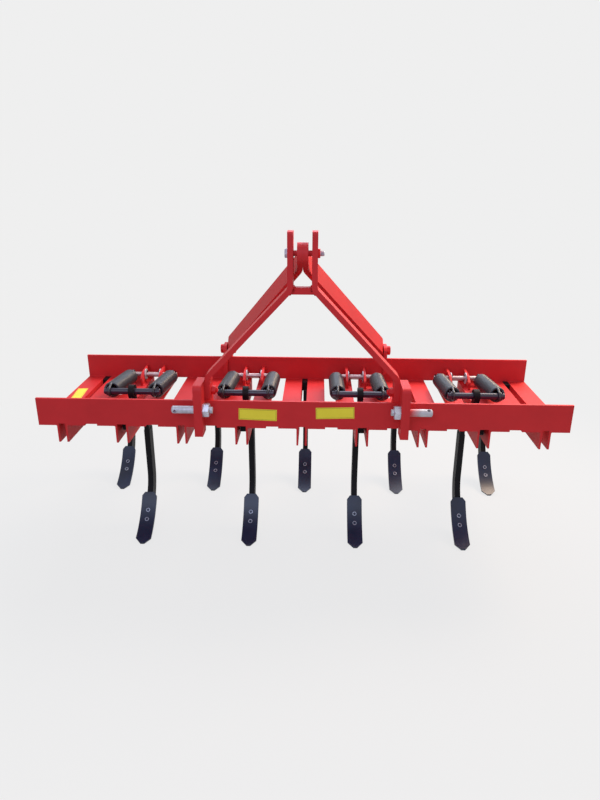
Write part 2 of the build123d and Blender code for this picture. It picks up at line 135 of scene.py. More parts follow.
def add_node(
    tree: bpy.types.NodeTree,
    kind: str,
    settings: dict[str, object] | None = None,
    inputs: dict[str | int, object] | None = None,
) -> bpy.types.Node:
    """Adds a node with its settings, and sets or links its inputs.

    Args:
        tree: The material's node tree.
        kind: Blender's name for the node.
        settings: Properties of the node and their values.
        inputs: Input names or numbers, each with a value or with the socket that feeds it.

    Returns:
        The new node.
    """
    node = tree.nodes.new(kind)
    for name, value in (settings or {}).items():
        setattr(node, name, value)
    for name, value in (inputs or {}).items():
        if isinstance(value, bpy.types.NodeSocket):
            tree.links.new(value, node.inputs[name])
        else:
            node.inputs[name].default_value = value
    return node


@dataclass(frozen=True)
class Finish:
    """One real finish, as it leaves the paint shop or the plating bath.

    A slow change of shade breaks up large faces, and a fine bump gives the skin of the paint or
    of the metal under it. Sizes are in millimetres.
    """

    name: str
    slot: Slot
    light: str
    dark: str
    roughness: float
    metallic: float = 0.0
    specular: float = 0.5
    shade_size: float = 120.0
    skin_size: float = 2.5
    skin_height: float = 0.02
    rough_spread: float = 0.05

    def make(self) -> bpy.types.Material:
        """Makes the material, or finds it where it is already there.

        Returns:
            The material.
        """
        found = bpy.data.materials.get(self.name)
        if found:
            return found
        material = bpy.data.materials.new(self.name)
        material.use_nodes = True
        tree = material.node_tree
        shader = tree.nodes["Principled BSDF"]
        shader.inputs["Metallic"].default_value = self.metallic
        shader.inputs["Specular IOR Level"].default_value = self.specular
        where = add_node(tree, "ShaderNodeTexCoord").outputs["Object"]
        shade, skin = (
            add_node(
                tree, "ShaderNodeTexNoise", inputs={"Vector": where, "Scale": 1000.0 / size, "Detail": fine}
            )
            for size, fine in ((self.shade_size, 3.0), (self.skin_size, 2.0))
        )
        colour = add_node(tree, "ShaderNodeValToRGB", inputs={"Fac": shade.outputs["Fac"]})
        stops = zip(colour.color_ramp.elements, (0.3, 0.7), (self.dark, self.light))
        for stop, position, hex_colour in stops:
            stop.position, stop.color = position, linear(hex_colour)
        tree.links.new(colour.outputs["Color"], shader.inputs["Base Color"])
        low, high = self.roughness - self.rough_spread, self.roughness + self.rough_spread
        limits = {"Value": shade.outputs["Fac"], "To Min": low, "To Max": high}
        spread = add_node(tree, "ShaderNodeMapRange", inputs=limits)
        tree.links.new(spread.outputs["Result"], shader.inputs["Roughness"])
        height = {"Height": skin.outputs["Fac"], "Strength": 0.5, "Distance": self.skin_height / 1000.0}
        bump = add_node(tree, "ShaderNodeBump", inputs=height)
        tree.links.new(bump.outputs["Normal"], shader.inputs["Normal"])
        return material


@dataclass(frozen=True)
class OversprayedFinish(Finish):
    """A plated finish that a mist of paint has reached, fading out along X.

    The mist starts at the plate, at plate_x, and specks break up its edge.
    """

    paint: str = "C8282B"
    plate_x: float = 386.0
    full_x: float = 392.0
    clear_x: float = 430.0
    speck_size: float = 2.5
    speck_spread: float = 24.0

    def make(self) -> bpy.types.Material:
        """Makes the plated finish and lays the mist of paint over it.

        Returns:
            The material.
        """
        material = super().make()
        tree = material.node_tree
        shader = tree.nodes["Principled BSDF"]
        plated = shader.inputs["Base Color"].links[0].from_socket
        where = add_node(tree, "ShaderNodeTexCoord").outputs["Object"]
        along = add_node(tree, "ShaderNodeSeparateXYZ", inputs={0: where})
        size = {"Vector": where, "Scale": 1000.0 / self.speck_size, "Detail": 3.0}
        specks = add_node(tree, "ShaderNodeTexNoise", inputs=size)
        spread = {0: specks.outputs["Fac"], 1: self.speck_spread / 1000.0, 2: along.outputs["X"]}
        reach = add_node(tree, "ShaderNodeMath", {"operation": "MULTIPLY_ADD"}, spread)
        mist = add_node(
            tree,
            "ShaderNodeMapRange",
            inputs={
                "Value": reach.outputs[0],
                "From Min": self.full_x / 1000.0 + self.speck_spread / 2000.0,
                "From Max": self.clear_x / 1000.0 + self.speck_spread / 2000.0,
                "To Min": 1.0,
                "To Max": 0.0,
            },
        )
        edge = {0: along.outputs["X"], 1: self.plate_x / 1000.0}
        outside = add_node(tree, "ShaderNodeMath", {"operation": "GREATER_THAN"}, edge)
        both = {0: mist.outputs["Result"], 1: outside.outputs[0]}
        cover = add_node(tree, "ShaderNodeMath", {"operation": "MULTIPLY"}, both)
        paints = {"Factor": cover.outputs[0], 6: plated, 7: linear(self.paint)}
        colour = add_node(tree, "ShaderNodeMix", {"data_type": "RGBA"}, paints)
        tree.links.new(colour.outputs[2], shader.inputs["Base Color"])
        shine = {"Value": cover.outputs[0], "To Min": self.metallic, "To Max": 0.0}
        metal = add_node(tree, "ShaderNodeMapRange", inputs=shine)
        tree.links.new(metal.outputs["Result"], shader.inputs["Metallic"])
        return material


# Alkyd enamel sprayed on hot-rolled steel: a full red with a satin shine and the low waves of the
# rolled surface under it.
RED_ENAMEL = Finish(
    "red_alkyd_enamel", Slot.RED_PAINT, light="D8282B", dark="CB2326", roughness=0.56, specular=0.34
)
# Satin black on the forged tines, over the grain of the forging.
BLACK_ENAMEL = Finish(
    "satin_black_enamel", Slot.DARK_PAINT, light="1D1D20", dark="161619", roughness=0.5, specular=0.1,
    skin_size=6.0, skin_height=0.06,
)
# Satin black on the turned draw bars: a smooth skin that catches the lamps along the top, its base colour
# tinted purple-blue as a painted cool sheen.
BAR_ENAMEL_PAINTED_COOL_SHEEN = Finish(
    "satin_bar_enamel_painted_cool_sheen", Slot.DARK_PAINT, light="2F2B40", dark="252135", roughness=0.31, specular=0.55,
    skin_size=3.0,
)
# Blue-black enamel on the pressed shovels, smooth and glossy; the blue of its base colour is partly a
# painted reflection of blue sky.
SHOVEL_ENAMEL_PAINTED_SKY = Finish(
    "blue_black_enamel_painted_sky", Slot.DARK_PAINT, light="1A2A48", dark="121C33", roughness=0.34, specular=0.45
)
# Black baked enamel on the spring wire.
SPRING_ENAMEL = Finish(
    "spring_black_enamel", Slot.SPRING_ENAMEL, light="373B42", dark="2C3037", roughness=0.33, specular=0.5,
    skin_size=1.5,
)
# Bright zinc on the nuts: pale and a little blue, with soft reflections.
BRIGHT_ZINC = Finish(
    "bright_zinc_plate", Slot.ZINC, light="D0D1DC", dark="B2B3C0", roughness=0.28, metallic=0.6,
    shade_size=18.0, skin_size=1.2, skin_height=0.03,
)
# Duller zinc on the linkage pins, scuffed along their length.
DULL_ZINC = Finish(
    "dull_zinc_plate", Slot.ZINC, light="C8C6CF", dark="A9A7B0", roughness=0.42, metallic=0.3,
    shade_size=14.0, skin_size=1.2, skin_height=0.03,
)
# The same zinc where the paint gun went past it.
MISTED_ZINC = OversprayedFinish(
    "misted_zinc_plate", Slot.ZINC, light="C8C6CA", dark="A9A7AB", roughness=0.4, metallic=0.3,
    shade_size=18.0, skin_size=1.2, skin_height=0.03,
)
# Cold-drawn steel of the anchor rods: grey with a satin skin, its base colour tinted pink as a painted
# reflection of the red frame all round.
DRAWN_STEEL_PAINTED_RED_REFLECTION = Finish(
    "cold_drawn_steel_painted_red_reflection", Slot.BRIGHT_STEEL, light="CFB6B6", dark="A98F90", roughness=0.4,
    metallic=0.7, shade_size=30.0, skin_size=1.0,
)
# Light blue-grey steel on the flat rims of the shovel bolt heads, lighter than the enamel round them.
RIM_STEEL = Finish(
    "bolt_rim_steel", Slot.ZINC, light="A9AFC0", dark="7B8192", roughness=0.4, metallic=0.5,
    shade_size=12.0, skin_size=1.0,
)
# Printed vinyl of the blank labels: flat yellow with a slight sheen, and its darker ink.
YELLOW_VINYL = Finish(
    "yellow_vinyl_film", Slot.RED_PAINT, light="FDEA42", dark="F5E03A", roughness=0.4, specular=0.3,
    shade_size=60.0, skin_size=4.0, skin_height=0.01, rough_spread=0.02,
)
LABEL_INK = Finish("olive_label_ink", Slot.RED_PAINT, light="8A7E22", dark="80741E", roughness=0.5)

# Finishes of the CAD nodes, by the start of their names. The rest of the frame is red.
NODE_FINISHES = {
    "spring_rods": DRAWN_STEEL_PAINTED_RED_REFLECTION,
    "hitch_pin": DULL_ZINC,
    "hitch_pin_right": MISTED_ZINC,
    "hitch_nuts": BRIGHT_ZINC,
    "tine": BLACK_ENAMEL,
    "tine_bolts": RED_ENAMEL,
    "draw_bar": BAR_ENAMEL_PAINTED_COOL_SHEEN,
    "springs": SPRING_ENAMEL,
    "shovel": SHOVEL_ENAMEL_PAINTED_SKY,
}


def finish_of(node: str) -> Finish:
    """Finds the finish of a CAD node by the longest key that its name starts with, or else red."""
    key = max((key for key in NODE_FINISHES if node.startswith(key)), key=len, default=None)
    return NODE_FINISHES[key] if key else RED_ENAMEL


# Modelling by hand


class Bench:
    """The workbench: shapes parts from primitives and puts finished pieces away."""

    # The corners of nuts and heads are turned off at 30 degrees, down to this share of the flats.
    CHAMFER_RADIUS = 0.47
    CHAMFER_SLOPE = 1.73
    # Depth of a thread and width of its ridge, as shares of its pitch.
    THREAD_DEPTH = 0.55
    RIDGE_WIDTH = 1.1
    # From one ripple of a weld bead to the next, as a share of its half-width.
    RIPPLE_STEP = 0.95

    @staticmethod
    def clear() -> None:
        """Deselects everything."""
        for obj in bpy.context.selected_objects:
            obj.select_set(False)
        bpy.context.view_layer.objects.active = None

    @staticmethod
    def take(name: str) -> bpy.types.Object:
        """Names the part that an operator has just added, and puts its place in its mesh.

        Args:
            name: The part's name.

        Returns:
            The part.
        """
        part = bpy.context.view_layer.objects.active
        part.name = part.data.name = name
        bpy.ops.object.transform_apply(location=True, rotation=True, scale=True)
        return part

    @staticmethod
    def open_mesh() -> None:
        """Goes into edit mode with the whole mesh of the active part selected."""
        bpy.ops.object.mode_set(mode="EDIT")
        bpy.ops.mesh.select_all(action="SELECT")

    @staticmethod
    def close_mesh() -> None:
        """Turns all the faces outwards and goes back to object mode."""
        bpy.ops.mesh.select_all(action="SELECT")
        bpy.ops.mesh.normals_make_consistent(inside=False)
        bpy.ops.object.mode_set(mode="OBJECT")

    @staticmethod
    def apply(part: bpy.types.Object) -> None:
        """Applies all the modifiers of a part.

        Args:
            part: The part.
        """
        bpy.context.view_layer.objects.active = part
        for modifier in list(part.modifiers):
            bpy.ops.object.modifier_apply(modifier=modifier.name)

    @classmethod
    def lathe(cls, profile: list[tuple[float, float]], sides: int = 24) -> bpy.types.Object:
        """Turns a solid round part on the X axis.

        Args:
            profile: Places along X and the radius at each, in millimetres.
            sides: Number of flats round the part.

        Returns:
            The part, closed at both ends.
        """
        (at, radius), *steps = profile
        cls.clear()
        bpy.ops.mesh.primitive_circle_add(
            vertices=sides, radius=radius / 1000.0, fill_type="NGON", location=mm(at, 0, 0),
            rotation=(0, math.pi / 2, 0),
        )
        part = cls.take("turned")
        cls.open_mesh()
        for next_at, next_radius in steps:
            bpy.ops.mesh.extrude_region_move(TRANSFORM_OT_translate={"value": mm(next_at - at, 0, 0)})
            ratio = next_radius / radius
            bpy.ops.transform.resize(value=(1, ratio, ratio), center_override=mm(next_at, 0, 0))
            at, radius = next_at, next_radius
        cls.close_mesh()
        return part

    @classmethod
    def hexagon(cls, flats: float, height: float) -> bpy.types.Object:
        """Turns the corners off the end of a hexagon bar, as on a bolt head or a nut.

        Args:
            flats: Width across the flats, in millimetres.
            height: Height of the head or nut, in millimetres.

        Returns:
            The part, standing on the origin towards +X with two corners along Y.
        """
        part = cls.lathe([(0, flats / math.sqrt(3)), (height, flats / math.sqrt(3))], 6)
        reach, slope = flats * cls.CHAMFER_RADIUS, cls.CHAMFER_SLOPE
        tool = cls.lathe([(-1, reach + slope * (height + 1)), (height + 1, reach - slope)], 36)
        turned = part.modifiers.new("chamfer", "BOOLEAN")
        turned.operation, turned.solver, turned.object = "INTERSECT", "EXACT", tool
        cls.apply(part)
        bpy.data.objects.remove(tool)
        return part

    @classmethod
    def wind(
        cls, mean: float, wire: float, pitch: float, turns: int, sides: int, steps: int
    ) -> bpy.types.Object:
        """Winds a wire round the Z axis, upwards from the origin.

        Args:
            mean: Mean diameter of the winding, in millimetres.
            wire: Diameter of the wire, in millimetres.
            pitch: Rise of one turn, in millimetres.
            turns: Number of turns.
            sides: Number of flats round the wire.
            steps: Number of steps in one turn.

        Returns:
            The winding, closed at both ends.
        """
        cls.clear()
        bpy.ops.mesh.primitive_circle_add(
            vertices=sides, radius=wire / 2000.0, location=mm(mean / 2, 0, wire / 2),
            rotation=(math.pi / 2, 0, 0),
        )
        part = cls.take("winding")
        screw = part.modifiers.new("winding", "SCREW")
        screw.axis = "Z"
        screw.steps = screw.render_steps = steps
        screw.iterations = turns
        screw.screw_offset = pitch / 1000.0
        screw.use_merge_vertices = False
        cls.apply(part)
        cls.open_mesh()
        bpy.ops.mesh.fill_holes(sides=0)
        cls.close_mesh()
        return part

    @classmethod
    def thread(cls, diameter: float, start: float, length: float, pitch: float) -> bpy.types.Object:
        """Cuts the threaded end of a bolt along +X.

        Args:
            diameter: Over the crests, in millimetres.
            start: Where the thread starts, in millimetres from the origin.
            length: How far the end stands out, in millimetres.
            pitch: Rise of one turn, in millimetres.

        Returns:
            The threaded end.
        """
        root, tip = diameter / 2 - cls.THREAD_DEPTH * pitch, start + length
        core = cls.lathe([(start - 1, root), (tip - 1.5, root), (tip, root - 1.5)], 20)
        turns = int(length / pitch) - 1
        ridge = cls.wind(2 * root, cls.RIDGE_WIDTH * pitch, pitch, turns, 4, 20)
        ridge.data.transform(Matrix.Translation(mm(start, 0, 0)) @ Matrix.Rotation(math.pi / 2, 4, "Y"))
        return cls.join("thread", [core, ridge])

    @classmethod
    def wire(cls, points: list[Vector], diameter: float) -> bpy.types.Object:
        """Bends a round wire along a smooth path and turns it into a mesh.

        Args:
            points: The path's control points, in metres.
            diameter: In millimetres.

        Returns:
            The wire.
        """
        cls.clear()
        bpy.ops.curve.primitive_nurbs_path_add(location=(0, 0, 0))
        data = bpy.context.view_layer.objects.active.data
        data.splines.clear()
        spline = data.splines.new("NURBS")
        spline.points.add(len(points) - 1)
        for point, where in zip(spline.points, points):
            point.co = (*where, 1.0)
        spline.order_u = 3
        spline.use_endpoint_u = True
        data.resolution_u = 6
        data.bevel_depth = diameter / 2000.0
        data.bevel_resolution = 3
        data.use_fill_caps = True
        bpy.ops.object.convert(target="MESH")
        return cls.take("wire")

    @classmethod
    def bead(cls, start: Vector, end: Vector, size: float) -> bpy.types.Object:
        """Lays a weld bead, one ripple behind the other.

        Args:
            start: Where it starts, in metres.
            end: Where it ends, in metres.
            size: Half the width of the bead, in millimetres.

        Returns:
            The bead.
        """
        cls.clear()
        run = end - start
        bpy.ops.mesh.primitive_uv_sphere_add(segments=8, ring_count=5, radius=size / 1000.0, location=start)
        bead = cls.take("bead")
        ripples = bead.modifiers.new("ripples", "ARRAY")
        ripples.count = max(2, round(run.length * 1000.0 / (cls.RIPPLE_STEP * size)))
        ripples.use_relative_offset = False
        ripples.use_constant_offset = True
        ripples.constant_offset_displace = run / (ripples.count - 1)
        cls.apply(bead)
        return bead

    @classmethod
    def join(cls, name: str, parts: list[bpy.types.Object]) -> bpy.types.Object:
        """Joins several parts into one mesh, and leaves it selected.

        Args:
            name: The joined part's name.
            parts: The parts.

        Returns:
            The joined part.
        """
        cls.clear()
        for part in parts:
            part.select_set(True)
        joined = bpy.context.view_layer.objects.active = parts[0]
        if len(parts) > 1:
            bpy.ops.object.join()
        joined.name = joined.data.name = name
        return joined

    @staticmethod
    def copy(part: bpy.types.Object, move: Matrix) -> bpy.types.Object:
        """Copies a part with its own mesh.

        Args:
            part: The part, which stays where it is.
            move: Takes the copy to its place.

        Returns:
            The copy.
        """
        twin = part.copy()
        twin.data = part.data.copy()
        bpy.context.scene.collection.objects.link(twin)
        twin.data.transform(move)
        return twin

    @staticmethod
    def drop(*parts: bpy.types.Object) -> None:
        """Throws away the parts that were only there to be copied."""
        for part in parts:
            bpy.data.objects.remove(part)

    @classmethod
    def put_away(
        cls, name: str, parts: list[bpy.types.Object], finish: Finish, body: str | None = FRAME_BODY,
        angle: float = 35.0,
    ) -> bpy.types.Object:
        """Joins, shades and paints a finished piece and lets it ride on its body.

        Args:
            name: The piece's name.
            parts: Its parts, at their places.
            finish: Its finish, where none of its faces has one yet.
            body: The CAD body that it rides on, or None where it rides on none.
            angle: Edges sharper than this stay sharp, in degrees.

        Returns:
            The piece.
        """
        piece = cls.join(name, parts)
        bpy.ops.object.shade_smooth_by_angle(angle=math.radians(angle))
        if not piece.data.materials:
            piece.data.materials.append(finish.make())
        if body:
            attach(piece, body)
        log.info("%s: %d faces", piece.name, len(piece.data.polygons))
        return piece


# Sub-assemblies


@dataclass
class CoilSprings:
    """The pairs of close-wound springs from the draw bars back to the anchor rods."""

    bar_y: float = 172.0
    bar_z: float = 70.0
    bar_diameter: float = 25.0
    rod_y: float = 500.0
    rod_z: float = 34.0
    rod_diameter: float = 20.0
    offset: float = 88.0
    outer: float = 64.0
    wire: float = 10.0
    front_gap: float = 16.0
    rear_gap: float = 46.0
    clearance: float = 0.4
    # Where the hooks start and end round their pins, in degrees. A long one starts further round.
    hook_starts: tuple[int, int] = (5, 65)
    hook_end: int = -226
    stiff_length: float = 30.0

    def hook(self, pin_diameter: float, reach: float) -> bpy.types.Object:
        """Bends the end hook of a spring round a pin at the origin, with the spring towards +Z.

        Args:
            pin_diameter: Diameter of the bar or rod inside the hook, in millimetres.
            reach: From the middle of the pin to the first turn, in millimetres.

        Returns:
            The hook, lying in the plane that the pin is square to.
        """
        mean = pin_diameter / 2 + self.clearance + self.wire / 2
        side = (self.outer - self.wire) / 2
        points = [mm(0, side, reach + self.wire / 2), mm(0, side * 0.92, reach - 5.0)]
        for degrees in range(self.hook_starts[reach > side], self.hook_end, -20):
            turn = math.radians(degrees)
            points.append(mm(0, mean * math.cos(turn) * 1.01, mean * math.sin(turn)))
        return Bench.wire(points, self.wire)

    def build(self, number: int) -> None:
        """Builds the two springs of one tine, between the tine and the frame.

        Args:
            number: The tine's number.
        """
        start = place(0, self.bar_y, self.bar_z)
        end = place(0, self.rod_y, self.rod_z)
        run = end - start
        length = run.length * 1000.0 - self.front_gap - self.rear_gap
        turns = round(length / self.wire) - 1
        pitch = (length - self.wire) / turns
        coil = Bench.wind(self.outer - self.wire, self.wire, pitch, turns, 9, 26)
        coil.data.transform(Matrix.Translation(mm(0, 0, self.front_gap)))
        front = self.hook(self.bar_diameter, self.front_gap)
        rear = self.hook(self.rod_diameter, self.rear_gap)
        rear.data.transform(Matrix.Translation((0, 0, run.length)) @ Matrix.Rotation(math.pi, 4, "X"))
        spring = Bench.join("spring", [coil, front, rear])
        aimed = run.to_track_quat("Z", "Y").to_matrix().to_4x4()
        spring.data.transform(Matrix.Translation(start + mm(tine_x(number) - self.offset, 0, 0)) @ aimed)
        twin = Bench.copy(spring, Matrix.Translation(mm(2 * self.offset, 0, 0)))
        pair = Bench.put_away(f"coil_springs_{number}", [spring, twin], SPRING_ENAMEL, None, angle=60.0)
        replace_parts(pair, f"springs_{number}")
        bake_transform(pair)


@dataclass
class SpringKeepers:
    """Washers and split pins that keep the springs on their bars and the rods in their lugs."""

    springs: CoilSprings = field(default_factory=CoilSprings)
    bar_washer: float = 34.0
    rod_washer: float = 50.0
    washer_thickness: float = 4.0
    lug_inner: float = 34.0
    pin_inset: float = 5.0
    rod_overhang: float = 18.0
    pin_wire: float = 3.2
    washer_chamfer: float = 0.6

    def washer(self, diameter: float) -> bpy.types.Object:
        """Turns one washer on the origin.

        Args:
            diameter: In millimetres.

        Returns:
            The washer, towards +X.
        """
        radius, edge, back = diameter / 2, self.washer_chamfer, self.washer_thickness
        rim = [(edge, radius), (back - edge, radius)]
        return Bench.lathe([(0, radius - edge), *rim, (back, radius - edge)], 32)

    def split_pin(self, bar: float) -> bpy.types.Object:
        """Bends a split pin through a bar at the origin, its eye up and its legs spread.

        Args:
            bar: Diameter of the bar, in millimetres.

        Returns:
            The pin.
        """
        reach = bar / 2
        leg = [(-4.0, -reach - 4.0), (-1.0, -reach - 0.5)]
        eye = [(-1.0, reach + 0.5), (-3.6, reach + 3.0), (-1.4, reach + 7.0)]
        path = leg + eye + [(-across, up) for across, up in (leg + eye)[::-1]]
        return Bench.wire([mm(0, across, up) for across, up in path], self.pin_wire)

    def build(self, number: int) -> None:
        """Builds the washers and split pins of one tine's bar and rod.

        Args:
            number: The tine's number.
        """
        springs = self.springs
        middle = tine_x(number)
        bar = place(middle, springs.bar_y, springs.bar_z)
        rod = place(middle, springs.rod_y, springs.rod_z)
        on_bar = self.washer(self.bar_washer)
        on_rod = self.washer(self.rod_washer)
        through_bar = self.split_pin(springs.bar_diameter)
        through_rod = self.split_pin(springs.rod_diameter)
        half = springs.wire / 2 + springs.clearance
        dark, bright, rod_pins = [], [], []
        for hand in (-1, 1):
            side = Vector((hand, 0, 0))
            dark.append(Bench.copy(on_bar, aim(bar + side * ((springs.offset + half) / 1000.0), side)))
            end = springs.offset + half + self.washer_thickness + self.pin_inset
            dark.append(Bench.copy(through_bar, Matrix.Translation(bar + side * (end / 1000.0))))
            bright.append(Bench.copy(on_rod, aim(rod + side * (self.lug_inner / 1000.0), -side)))
            for end in (self.lug_inner - self.washer_thickness, springs.offset + self.rod_overhang):
                out = side * ((end - self.pin_inset) / 1000.0)
                rod_pins.append(Bench.copy(through_rod, Matrix.Translation(rod + out)))
        Bench.drop(on_bar, on_rod, through_bar, through_rod)
        Bench.put_away(f"bar_keepers_{number}", dark, BAR_ENAMEL_PAINTED_COOL_SHEEN, tine_body(number))
        Bench.put_away(f"rod_washers_{number}", bright, DULL_ZINC)
        Bench.put_away(f"rod_split_pins_{number}", rod_pins, BLACK_ENAMEL)


@dataclass
class ShovelBolts:
    """Cup-head bolts through each shovel and the foot of its tine, with nuts behind."""

    centre_y: float = 21.80
    centre_z: float = -304.69
    face_radius: float = 296.0
    seat_radius: float = 304.3
    foot_thickness: float = 14.0
    angles: tuple[float, float] = (-42.6, -50.6)
    head_radius: float = 9.8
    head_rise: float = 2.2
    rim_width: float = 4.2
    nut_flats: float = 17.0
    nut_height: float = 8.0
    nut_bite: float = 0.3
    thread: float = 10.0
    pitch: float = 1.5
    stub: float = 5.0

    def head(self) -> bpy.types.Object:
        """Turns a cup head with a dished middle and a lighter steel rim, towards +X.

        Returns:
            The head.
        """
        radius, rise, dish = self.head_radius, self.head_rise, self.head_radius - self.rim_width
        outer = [(-1, radius), (rise - 0.8, radius), (rise, radius - 0.9)]
        head = Bench.lathe([*outer, (rise, dish), (rise - 0.9, dish - 0.7)], 28)
        # The head takes the shovel enamel, whose blue base is partly painted sky reflection.
        head.data.materials.append(SHOVEL_ENAMEL_PAINTED_SKY.make())
        head.data.materials.append(RIM_STEEL.make())
        for face in head.data.polygons:
            out = math.hypot(face.center.y, face.center.z) * 1000.0
            on_rim = face.normal.x > 0.9 and dish < out < radius
            face.material_index = 1 if on_rim else 0
        return head

    def nut(self) -> bpy.types.Object:
        """Makes a nut with the bolt's thread standing out of it, towards +X."""
        nut = Bench.hexagon(self.nut_flats, self.nut_height)
        return Bench.join("nut", [nut, Bench.thread(self.thread, self.nut_height, self.stub, self.pitch)])

    def build(self) -> None:
        """Builds both bolts of every shovel."""
        head, nut = self.head(), self.nut()
        for number in TINE_NUMBERS:
            heads, nuts = [], []
            hub = place(tine_x(number), tine_row_y(number) + self.centre_y, self.centre_z)
            for angle in self.angles:
                spoke = Vector((0.0, math.cos(math.radians(angle)), math.sin(math.radians(angle))))
                heads.append(Bench.copy(head, aim(hub + spoke * (self.face_radius / 1000.0), -spoke)))
                back = hub + spoke * ((self.seat_radius + self.foot_thickness - self.nut_bite) / 1000.0)
                nuts.append(Bench.copy(nut, aim(back, spoke)))
            body = tine_body(number)
            Bench.put_away(f"shovel_bolt_heads_{number}", heads, SHOVEL_ENAMEL_PAINTED_SKY, body)
            Bench.put_away(f"shovel_nuts_{number}", nuts, BLACK_ENAMEL, body)
        Bench.drop(head, nut)


@dataclass(frozen=True)
class Bolt:
    """A hexagon bolt across the machine, from the seat of its head to the seat of its nut."""

    y: float
    z: float
    head_x: float
    nut_x: float
    diameter: float
    flats: float
    head: float
    nut: float
    stub: float
    turn: float = 0.0

    def hexagon(self, x: float, height: float, way: int) -> bpy.types.Object:
        """Makes the head or the nut.

        Args:
            x: Its seat, in millimetres.
            height: In millimetres.
            way: 1 where it stands out to the right, -1 to the left.

        Returns:
            The head or nut at its place.
        """
        part = Bench.hexagon(self.flats, height)
        turned = Matrix.Rotation(math.radians(-self.turn * way), 4, "X")
        part.data.transform(aim(place(x, self.y, self.z), Vector((way, 0, 0))) @ turned)
        return part

    def make(self) -> list[bpy.types.Object]:
        """Makes the whole bolt.

        Returns:
            Its shank and head, its nut, and its threaded end.
        """
        way = 1 if self.nut_x > self.head_x else -1
        move = aim(place(self.head_x, self.y, self.z), Vector((way, 0, 0)))
        grip = abs(self.nut_x - self.head_x)
        shank = Bench.lathe([(-1, self.diameter / 2), (grip + 1, self.diameter / 2)], 24)
        shank.data.transform(move)
        parts = [shank, self.hexagon(self.head_x, self.head, -way), self.hexagon(self.nut_x, self.nut, way)]
        if self.stub > 3.0:
            thread = Bench.thread(self.diameter, grip + self.nut, self.stub, 2.5)
            thread.data.transform(move)
            parts.append(thread)
        return parts


@dataclass
class Fasteners:
    """The bolts of the tines, of the mast and of the stays, and the nuts of the linkage pins."""

    tine_bolt_places: tuple[tuple[float, float], ...] = ((172.0, -38.0), (262.0, -52.0))
    slot_front: float = 34.0
    slot_rear: float = 24.6
    leg: float = 7.0
    mast_y: float = 42.5
    mast_pin_z: float = 629.0
    mast_outer_x: float = 52.5
    mast_foot_bolt_z: float = 128.0
    mast_foot_thickness: float = 20.0
    stay_bolt_y: float = 600.0
    stay_bolt_z: float = 128.0
    stay_inner_x: float = 330.0
    stay_outer_x: float = 364.0
    hitch_outer_x: float = 387.0
    hitch_inner_x: float = 357.0
    hitch_pin_y: float = -35.0
    hitch_pin_z: float = 77.0
    hitch_nut_turns: tuple[float, float] = (8.0, 14.0)
    # Sizes of bolts: diameter, width across the flats, height of the head and of the nut.
    tine_bolt: tuple[float, ...] = (20.0, 30.0, 12.5, 12.5)
    mast_bolt: tuple[float, ...] = (20.0, 30.0, 12.5, 16.0)
    mast_pin: tuple[float, ...] = (20.0, 30.0, 10.0, 8.0)
    stay_bolt: tuple[float, ...] = (24.0, 36.0, 15.0, 19.0)
    hitch_nut: tuple[float, ...] = (24.0, 46.0, 0.0, 24.0)

    def tine_bolts(self) -> None:
        """Builds the bolts that carry the tines, one in front and two behind, row by row."""
        rows = (("front_row", self.slot_front, 1), ("rear_row", self.slot_rear, 2))
        for (row, slot, count), numbers in zip(rows, (SPRUNG_TINES, RIGID_TINES)):
            parts = []
            for number in numbers:
                x, outer = tine_x(number), slot / 2 + self.leg
                for y, z in self.tine_bolt_places[:count]:
                    y += tine_row_y(number)
                    parts += Bolt(y, z, x - outer, x + outer, *self.tine_bolt, 0.0).make()
            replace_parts(Bench.put_away(f"hexagon_bolts_{row}", parts, RED_ENAMEL), f"tine_bolts_{row}")

    def frame_bolts(self) -> None:
        """Builds the bolts at the feet of the mast and the stays, and the pin through the mast."""
        feet = []
        nut_seat = self.hitch_inner_x - self.mast_foot_thickness
        for hand in (-1, 1):
            seats = (hand * self.hitch_outer_x, hand * nut_seat)
            where = (self.mast_y, self.mast_foot_bolt_z)
            feet += Bolt(*where, *seats, *self.mast_bolt, 8.0).make()
            seats = (hand * self.stay_inner_x, hand * self.stay_outer_x)
            where = (self.stay_bolt_y, self.stay_bolt_z)
            feet += Bolt(*where, *seats, *self.stay_bolt, 3.0).make()
        seats = (-self.mast_outer_x, self.mast_outer_x)
        pin = Bolt(self.mast_y, self.mast_pin_z, *seats, *self.mast_pin, 14.0)
        shank, head, nut, thread = pin.make()
        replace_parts(Bench.put_away("foot_bolts", feet + [shank, nut], RED_ENAMEL), "frame_bolts")
        Bench.put_away("mast_pin_ends", [head, thread], DULL_ZINC)

    def hitch_nuts(self) -> None:
        """Builds the nuts of the linkage pins, behind the hitch plates."""
        parts = []
        for hand, turn in zip((-1, 1), self.hitch_nut_turns):
            seat = hand * self.hitch_inner_x
            bolt = Bolt(self.hitch_pin_y, self.hitch_pin_z, seat, seat, *self.hitch_nut, 0.0, turn)
            parts.append(bolt.hexagon(seat, bolt.nut, -hand))
        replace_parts(Bench.put_away("linkage_pin_nuts", parts, BRIGHT_ZINC), "hitch_nuts")

    def build(self) -> None:
        """Builds every bolt and nut of the frame."""
        self.tine_bolts()
        self.frame_bolts()
        self.hitch_nuts()


